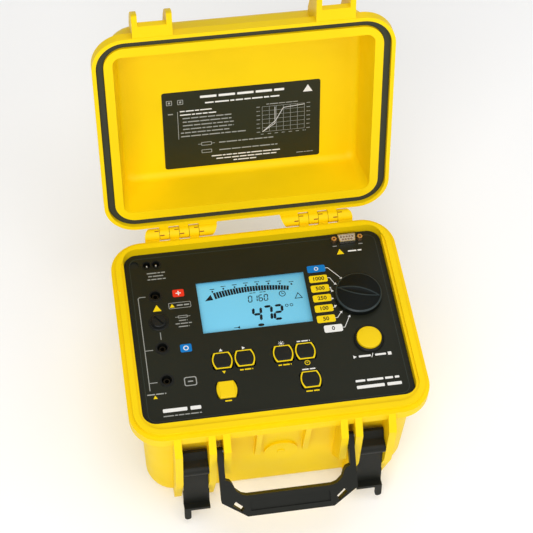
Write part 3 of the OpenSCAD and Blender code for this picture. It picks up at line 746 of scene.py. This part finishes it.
def dial_print():
    """Labels left of the knob, a leader from each to its mark, and the marks around the knob."""
    knob = middle("range_knob")
    labels = [("ink_blue", -33.8, 34.8, 120, None), ("ink_yellow", -33.7, 23.4, 140, "1000"),
              ("ink_yellow", -33.8, 12.5, 160, "500"), ("ink_yellow", -33.8, 1.6, 180, "250"),
              ("ink_yellow", -34.1, -9.8, 200, "100"), ("ink_yellow", -34.1, -21.3, 220, "50"),
              ("ink_white", -29.3, -32.4, 240, "0")]
    w, h = 17.2, 7.8
    inks = {name: Ink(ON_PANEL) for name in ("ink_blue", "ink_yellow", "ink_white")}
    dark, light = Ink(ON_PANEL), Ink(ON_PANEL)
    for paint, dx, dy, angle, figures in labels:
        x, y = knob.x + dx, knob.y + dy
        inks[paint].fill(box(x, y, w, h, 1.6))
        if figures:
            dark.numerals(x, y, 4.0, figures)
        else:
            light.ring(disc(x, y, 2.0), disc(x, y, 1.3), 2)
        mark = Vector((math.cos(math.radians(angle)), math.sin(math.radians(angle))))
        at = Vector((knob.x, knob.y)) + mark * 24.6
        inks["ink_white"].fill(triangle(at.x, at.y, 1.6, angle + 180))
        start = x + w / 2
        if angle != 180:
            bend = min(start + 2.2, at.x - 0.8)
            inks["ink_white"].line([(start, y), (bend, y), (at.x + mark.x, at.y + mark.y)], 0.55)
    for paint, ink in inks.items():
        ink.done("dial_labels_" + paint.split("_")[1], paint, "base")
    dark.done("dial_numbers", "ink_black", "base")
    light.done("dial_setup_ring", "ink_white", "base")


def key_print():
    white, yellow = Ink(ON_PANEL), Ink(ON_PANEL)
    for name, (above, below) in KEYS.items():
        at = middle(name)
        for ink, sign, what in ((white, 1, above), (yellow, -1, below)):
            x, y = at.x, at.y + sign * (KEY_D / 2 + 2.8)
            if what == "up":
                ink.fill(triangle(x, y, 1.9, 90))
            elif what == "down":
                ink.fill(triangle(x, y, 1.9, 270))
            elif what == "right":
                ink.fill(triangle(x, y, 1.9, 0))
            elif what == "sun":
                ink.fill(disc(x, y, 1.0, 16))
                for k in range(8):
                    c, s = math.cos(math.pi / 4 * k), math.sin(math.pi / 4 * k)
                    ink.line([(x + 1.5 * c, y + 1.5 * s), (x + 2.8 * c, y + 2.8 * s)], 0.45)
            elif what == "clock":
                ink.ring(disc(x, y - 0.5, 2.6), disc(x, y - 0.5, 2.0))
                ink.line([(x - 0.8, y + 0.5), (x, y - 0.7), (x + 1.1, y + 0.7)], 0.5)
            elif what == "bars":
                width = 6 if name == "key_second" else 12
                ink.words(x - width / 2, y, width, 2.2, 1, len(name))
    white.done("key_marks_white", "ink_white", "base")
    yellow.done("key_marks_yellow", "ink_yellow", "base")


def socket_print():
    """The bracket that joins the sockets, and the coloured marks beside them."""
    plus, guard, minus = (middle("socket_" + n) for n in ("positive", "guard", "negative"))
    fuse, inlet = middle("fuse_cap"), middle("mains_inlet")
    side = plus.x - 16
    grey = Ink(ON_PANEL)
    grey.line([(plus.x - 9, plus.y), (side + 1.2, plus.y), (side, plus.y - 1.2), (side, minus.y - 9)], 0.7)
    for at in (guard, minus):
        grey.line([(side, at.y - 1.2), (at.x - 8.5, at.y - 1.2)], 0.7)
    grey.line([(guard.x, guard.y + 9), (guard.x, fuse.y - 11.5)], 0.7)
    grey.words(plus.x - 5, inlet.y - 9.5, 17, 1.8, 1, 4)
    grey.words(plus.x - 4, inlet.y - 13, 14, 1.8, 1, 6)
    grey.words(plus.x - 5, inlet.y - 16.5, 17, 1.8, 1, 9)
    x, y = plus.x + 21.3, plus.y - 12.9
    grey.ring(box(x, y, 20.7, 6.6, 1), box(x, y, 19.7, 5.6, 0.7))
    grey.words(x - 2.8, y, 11.5, 2.4, 1, 3)
    x, y = minus.x + 20.9, minus.y - 3.7
    grey.ring(box(x, y, 11.4, 9.4, 2), box(x, y, 9.6, 7.6, 1.4))
    grey.fill(box(x, y, 4.6, 1.2))
    x, y = fuse.x + 22.5, fuse.y + 3
    grey.ring(box(x, y, 9, 2.8, 0.8), box(x, y, 7.8, 1.6, 0.4))
    grey.line([(x - 7, y), (x - 3.8, y)], 0.5)
    grey.line([(x + 3.8, y), (x + 7, y)], 0.5)
    for row, width in ((0, 8), (1, 15), (2, 10)):
        grey.words(x - width / 2, y - 4 - 3.3 * row, width, 1.7, 1, row + 2)
    grey.words(side - 3, minus.y - 13, 17, 2.0, 1, 5)
    grey.done("socket_print_grey", "ink_grey", "base")

    red = Ink(ON_PANEL)
    red.fill(box(plus.x + 21.5, plus.y + 0.4, 10.6, 8.2, 1.4))
    red.done("socket_print_red", "ink_red", "base")
    blue = Ink(ON_PANEL)
    blue.fill(box(guard.x + 21.2, guard.y - 2.7, 10.4, 8.4, 1.4))
    blue.done("socket_print_blue", "ink_blue", "base")
    white = Ink(ON_PANEL)
    white.fill(cross(plus.x + 21.5, plus.y + 0.4, 2.4, 0.5), 2)
    x, y = guard.x + 21.2, guard.y - 2.7
    white.ring(disc(x, y, 2.5), disc(x, y, 1.6), 2)
    white.done("socket_print_white", "ink_white", "base")
    yellow = Ink(ON_PANEL)
    yellow.fill(triangle(fuse.x, (plus.y + fuse.y) / 2 - 0.4, 4.6, 90))
    yellow.fill(triangle(plus.x + 14.2, plus.y - 13.4, 2.6, 90))
    yellow.fill(triangle(side + 4, minus.y - 16.5, 2.2, 90))
    yellow.done("socket_print_yellow", "ink_yellow", "base")


def other_print():
    """Plain marks beside the connector, under the start button and along the front edge."""
    port, start = middle("serial_shell"), middle("start_button")
    lo, hi = low("panel_overlay"), high("panel_overlay")
    white, yellow, grey = Ink(ON_PANEL), Ink(ON_PANEL), Ink(ON_PANEL)
    yellow.fill(triangle(port.x - 8.6, port.y - 13.4, 4.0, 90))
    white.words(port.x - 1, port.y - 12.8, 13, 2.6, 1, 8)
    for sign in (-1, 1):
        grey.words(port.x + sign * 12.5 - 2, port.y - 5.6, 4, 1.4, 1, 2)
    x, y = start.x, start.y - 17
    white.fill(triangle(x - 16.5, y, 2.0, 0))
    white.words(x - 12.5, y, 11, 3.4, 1, 5)
    white.line([(x - 0.9, y - 2.2), (x + 0.9, y + 2.2)], 0.6)
    white.words(x + 2.6, y, 10, 3.4, 1, 2)
    white.fill(box(x + 16, y, 3.3, 3.3))
    white.words(hi.x - 50, lo.y + 20, 40, 3.8, 1, 3)
    white.words(hi.x - 50, lo.y + 13.5, 41, 5.4, 1, 7)
    white.words(lo.x + 16, lo.y + 13, 34, 6.2, 1, 5)
    grey.words(lo.x + 16, lo.y + 7.5, 34, 1.8, 1, 4)
    white.done("panel_print_white", "ink_white", "base")
    yellow.done("panel_print_yellow", "ink_yellow", "base")
    grey.done("panel_print_grey", "ink_grey", "base")


# ---------------------------------------------------------------- display

def display():
    """The lit face under the window, its bar graph, numerals and small signs."""
    lo, hi = low("display_window"), high("display_window")
    face = high("display_module").z
    w, d = hi.x - lo.x - 3, hi.y - lo.y - 3
    cx, cy = (lo.x + hi.x) / 2, (lo.y + hi.y) / 2
    thick = 0.45
    place = Matrix.Scale(MM, 4) @ Matrix.Translation((cx, cy, face + thick))
    work = bmesh.new()
    loft(work, [[(x, y, z) for x, y in box(0, 0, w - trim, d - trim, 1.5)] for z, trim in
                ((-thick + 0.02, 0), (-0.1, 0), (0, 0.2))])
    put("display_face", made_mesh("display_face", work, place), "display_glass", "base")

    vw, vd = w - 1, d - 1
    ink = Ink(place)

    def at(s, t):
        """A place on the part of the face that shows under the rim: s to the right, t down."""
        return ((s - 0.5) * vw * 0.985 + 0.3, (0.5 - t) * vd * 0.96 + 0.9)

    def bow(s):
        return 0.2 + 0.55 * (s - 0.5) ** 2

    bars = 27
    for k in range(bars):
        s = 0.155 + (0.835 - 0.155) * k / (bars - 1)
        tall = 0.125 - 0.04 * k / (bars - 1)
        x, y = at(s, bow(s))
        slope = math.atan(1.1 * (s - 0.5) * vd / vw)
        c, r = math.cos(slope), math.sin(slope)
        half_w, half_h = 1.05, tall * vd / 2
        ink.fill([(x + px * c + py * r, y - px * r + py * c) for px, py in
                  ((-half_w, -half_h), (half_w, -half_h), (half_w, half_h), (-half_w, half_h))])
    x, y = at(0.1, bow(0.1) + 0.005)
    ink.fill([(x - 4.6, y - 3.2), (x + 3.2, y - 2.8), (x + 1.4, y + 3.2)])
    for k in range(8):
        s = 0.135 + 0.106 * k
        x, y = at(s, bow(s) - 0.085 - (0.015 if k < 2 else 0))
        ink.fill(box(x, y, 1.5, 1.9, 0.5))
        ink.words(x - 2.2, y + 2.6, 4.4, 1.3, 1, k + 2)
    for s in (0.5, 0.595):
        x, y = at(s, 0.29)
        ink.words(x - 2.6, y, 5.6, 1.2, 1, 3)
    x, y = at(0.545, 0.41)
    number(ink, x, y, 6.6, "0160", 0.14, 1, 0.75)
    x, y = at(0.61, 0.735)
    number(ink, x, y, 14.6, "472", 0.17, 1, 0.68)
    x, y = at(0.775, 0.37)
    ink.ring(disc(x, y, 3.2), disc(x, y, 2.5))
    ink.line([(x - 0.2, y + 1.9), (x - 0.2, y), (x + 1.6, y)], 0.6)
    x, y = at(0.92, 0.46)
    ink.ring(triangle(x, y, 4.6, 90), triangle(x, y, 3.2, 90))
    x, y = at(0.82, 0.62)
    ink.ring(disc(x - 2.4, y, 1.6, 16), disc(x - 2.4, y, 1.0, 16))
    ink.ring(disc(x + 2.0, y, 1.6, 16), disc(x + 2.0, y, 1.0, 16))
    x, y = at(0.53, 0.955)
    ink.fill([(x + px * 1.7, y + py * 0.9) for px, py in disc(0, 0, 1.7, 20)])
    x, y = at(0.31, 0.955)
    ink.fill(triangle(x + 1.5, y, 1.7, 180))
    ink.line([(x - 3, y), (x + 1, y)], 0.6)
    ink.done("display_segments", "segment_black", "base")


# ---------------------------------------------------------------- lid print

def lid_print():
    place, w, h = label_frame("lid_label")
    white, grey = Ink(place), Ink(place)

    def at(s, t):
        return ((s - 0.5) * w, (0.5 - t) * h)

    x, y = at(0.24, 0.085)
    white.words(x, y, 0.53 * w, 4.4, 1, 5)
    x, y = at(0.27, 0.165)
    white.words(x, y, 0.47 * w, 2.6, 1, 8)
    x, y = at(0.92, 0.115)
    white.fill(triangle(x, y, 5.2, 90))
    for s in (0.045, 0.115):
        x, y = at(s, 0.13)
        grey.ring(box(x, y, 5.4, 5.4, 0.6), box(x, y, 4.2, 4.2, 0.4))
        grey.fill(box(x, y, 2, 2))
    x, y = at(0.095, 0.25)
    grey.line([(x, y), (x, y - 0.36 * h)], 0.5)
    x, y = at(0.035, 0.275)
    grey.words(x, y, 6, 2, 1, 3)
    for row in range(8):
        x, y = at(0.11 + (0.015 if 1 < row < 6 else 0), 0.25 + 0.047 * row)
        width = (30, 34, 46, 46, 48, 48, 46, 62)[row]
        (white if row < 2 else grey).words(x, y, width, 2.0, 1, row + 3)
    x0, y0 = at(0.63, 0.62)
    gw, gh = 0.27 * w, 0.33 * h
    for k in range(7):
        grey.line([(x0 + gw * k / 6, y0), (x0 + gw * k / 6, y0 + gh)], 0.28)
        grey.line([(x0, y0 + gh * k / 6), (x0 + gw, y0 + gh * k / 6)], 0.28)
        grey.words(x0 - 5.5, y0 + gh * k / 6, 3.4, 1.1, 1, k + 1)
        grey.words(x0 + gw + 2, y0 + gh * k / 6, 3.4, 1.1, 1, k + 2)
        grey.words(x0 + gw * k / 6 - 1.6, y0 - 2.6, 3.2, 1.1, 1, k + 3)
    white.line([(x0, y0), (x0 + 0.32 * gw, y0 + 0.42 * gh), (x0 + 0.5 * gw, y0 + 0.9 * gh),
                (x0 + gw, y0 + 0.96 * gh)], 0.45, 2)
    white.line([(x0, y0), (x0 + 0.3 * gw, y0 + 0.3 * gh), (x0 + 0.3 * gw, y0 + 0.96 * gh)], 0.45, 2)
    grey.words(x0 + 4, y0 + gh + 2.6, 30, 1.4, 1, 6)
    for t, width in ((0.7, 52), (0.8, 56)):
        x, y = at(0.27, t)
        grey.ring(box(x, y, 10, 4, 0.8), box(x, y, 8.8, 2.8, 0.5))
        grey.words(x + 12, y, width, 2.0, 1, int(width))
    x, y = at(0.27, 0.7)
    grey.line([(x - 8, y), (x - 5, y)], 0.5)
    grey.line([(x + 5, y), (x + 8, y)], 0.5)
    for row, (s, width) in enumerate(((0.3, 66), (0.33, 58), (0.44, 22))):
        x, y = at(s, 0.875 + 0.04 * row)
        white.words(x, y, width, 1.9, 1, row + 4)
    x, y = at(0.85, 0.94)
    grey.words(x, y, 16, 1.3, 1, 4)
    white.done("lid_print_white", "ink_white", "lid")
    grey.done("lid_print_grey", "ink_grey", "lid")


# ---------------------------------------------------------------- studio

def studio():
    ground = bpy.data.materials.new("studio_floor")
    ground.use_nodes = True
    matt = ground.node_tree.nodes["Principled BSDF"]
    for socket, value in (
            ("Base Color", (0.9, 0.9, 0.9, 1)), ("Roughness", 0.9), ("Specular IOR Level", 0.0),
            ("Emission Color", (1, 1, 1, 1)), ("Emission Strength", 0.12)):
        matt.inputs[socket].default_value = value
    work = bmesh.new()
    bmesh.ops.create_grid(work, x_segments=1, y_segments=1, size=12)
    mesh = bpy.data.meshes.new("floor")
    work.to_mesh(mesh)
    work.free()
    mesh.materials.append(ground)
    floor = bpy.data.objects.new("floor", mesh)
    bpy.context.scene.collection.objects.link(floor)

    world = bpy.data.worlds.new("studio")
    bpy.context.scene.world = world
    world.use_nodes = True
    world.node_tree.nodes["Background"].inputs["Color"].default_value = (1, 1, 1, 1)
    world.node_tree.nodes["Background"].inputs["Strength"].default_value = 0.43

    for name, at, size, power in (
            ("key_light", (-0.7, -1.6, 1.6), 1.4, 23.5), ("top_light", (0.1, -0.4, 2.3), 1.2, 11),
            ("fill_light", (1.2, -1.1, 1.1), 1.6, 9), ("back_light", (0.4, 1.6, 1.6), 1.2, 4)):
        light = bpy.data.lights.new(name, "AREA")
        light.size = size
        light.energy = power
        lamp = bpy.data.objects.new(name, light)
        lamp.location = at
        lamp.rotation_euler = (Vector((0, 0, 0.12)) - Vector(at)).to_track_quat("-Z", "Y").to_euler()
        bpy.context.scene.collection.objects.link(lamp)
    bpy.context.scene.view_settings.view_transform = "Standard"


def camera():
    """The camera stands in front and above, turned a little to the left."""
    distance = 1.343
    azimuth, elevation, roll = (math.radians(a) for a in (-11.5, 54.5, 3.25))
    target = Vector((-0.005, 0, 0.263))
    back = Vector((math.sin(azimuth) * math.cos(elevation), -math.cos(azimuth) * math.cos(elevation),
                   math.sin(elevation)))
    optics = bpy.data.cameras.new("camera")
    optics.lens = 107.5
    optics.sensor_width = 36
    optics.shift_y = -0.05
    view = bpy.data.objects.new("camera", optics)
    turn = (-back).to_track_quat("-Z", "Y").to_matrix().to_4x4()
    view.matrix_world = Matrix.Translation(target + back * distance) @ turn @ Matrix.Rotation(roll, 4, "Z")
    bpy.context.scene.collection.objects.link(view)
    bpy.context.scene.camera = view


dress_cad()
collars()
serial_face()
inlet_pins()
hinge_slot_shade()
range_knob()
start_button()
key("key_second", "button_yellow", None)
for name in ("key_display", "key_ratio", "key_timer", "key_alarm", "key_program"):
    key(name, "key_rubber", "ink_yellow")
panel_edge_line()
dial_print()
key_print()
socket_print()
other_print()
display()
lid_print()
studio()
camera()
